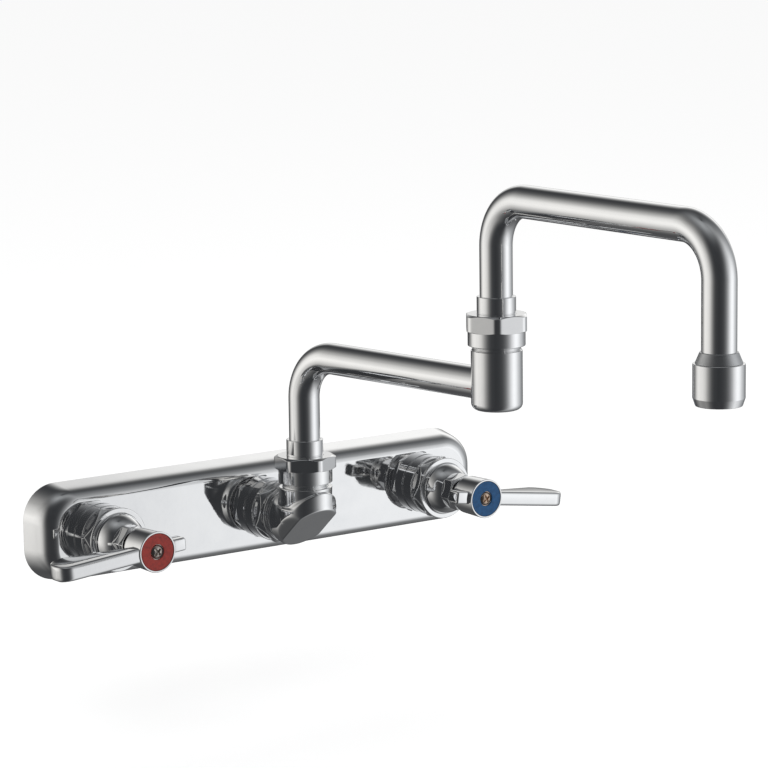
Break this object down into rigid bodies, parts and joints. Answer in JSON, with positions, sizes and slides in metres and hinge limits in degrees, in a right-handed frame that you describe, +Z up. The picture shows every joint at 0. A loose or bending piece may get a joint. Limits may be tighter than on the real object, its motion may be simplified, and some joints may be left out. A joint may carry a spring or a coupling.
{
  "type": "wall faucet",
  "caption": "Wall-mounted two-lever kitchen faucet with a hollow rounded body, elbow riser and a double-jointed swing spout ending in a round aerator.",
  "frame": {"origin": "middle of the body's back face, on the wall, on the line through both valve axes", "axes": "+X to the right as seen by someone facing the wall, from the hot valve to the cold valve; +Y into the wall; +Z up. The spout reaches out towards -Y."},
  "size_m": [0.3111, 0.3608, 0.2071],
  "materials": {
    "chrome": "polished",
    "brass": "machined",
    "screw_steel": "bright",
    "screw_brass": "bright",
    "hot_index": "satin",
    "cold_index": "satin",
    "rubber": "matte",
    "fibre": "matte",
    "white_plastic": "matte",
    "ceramic": "polished"
  },
  "bodies": {
    "wall_body": {"valve_body": "chrome", "elbow_locknut": "chrome", "elbow_gasket": "fibre", "spout_elbow": "chrome", "joint_1_nut": "chrome", "hot_bonnet": "chrome", "hot_bonnet_gasket": "fibre", "hot_cartridge": "brass", "hot_fixed_disc": "ceramic", "hot_seat_washer": "rubber", "hot_thrust_washer": "white_plastic", "hot_packing_ring": "white_plastic", "hot_packing_nut": "chrome", "cold_bonnet": "chrome", "cold_bonnet_gasket": "fibre", "cold_cartridge": "brass", "cold_fixed_disc": "ceramic", "cold_seat_washer": "rubber", "cold_thrust_washer": "white_plastic", "cold_packing_ring": "white_plastic", "cold_packing_nut": "chrome"},
    "hot_handle": {"hot_lever": "chrome", "hot_index_disc": "hot_index", "hot_lever_screw": "screw_steel", "hot_stem": "brass", "hot_stem_o_ring": "rubber", "hot_moving_disc": "ceramic"},
    "cold_handle": {"cold_lever": "chrome", "cold_index_disc": "cold_index", "cold_lever_screw": "screw_brass", "cold_stem": "brass", "cold_stem_o_ring": "rubber", "cold_moving_disc": "ceramic"},
    "arm_1": {"joint_1_sleeve": "chrome", "joint_1_split_ring": "brass", "joint_1_o_rings": "rubber", "arm_1_tube": "chrome", "joint_2_body": "chrome", "joint_2_nut": "chrome"},
    "arm_2": {"joint_2_sleeve": "chrome", "joint_2_split_ring": "brass", "joint_2_o_rings": "rubber", "arm_2_tube": "chrome", "outlet_adapter": "chrome", "aerator_housing": "chrome", "aerator_washer": "rubber", "aerator_insert": "white_plastic"}
  },
  "joints": [
    {"name": "hot_turn", "type": "hinge", "parent": "wall_body", "child": "hot_handle", "pos_m": [-0.1016, -0.0188, 0], "axis": [0, -1, 0], "range_deg": [0, 90]},
    {"name": "cold_turn", "type": "hinge", "parent": "wall_body", "child": "cold_handle", "pos_m": [0.1016, -0.0188, 0], "axis": [0, 1, 0], "range_deg": [0, 90]},
    {"name": "spout_swing", "type": "hinge", "parent": "wall_body", "child": "arm_1", "pos_m": [0, -0.0522, 0.0171], "axis": [0, 0, 1], "range_deg": [-97.15, 82.85]},
    {"name": "arm_fold", "type": "hinge", "parent": "arm_1", "child": "arm_2", "pos_m": [0.01729, -0.19002, 0.1026], "axis": [0, 0, 1], "continuous": true}
  ]
}
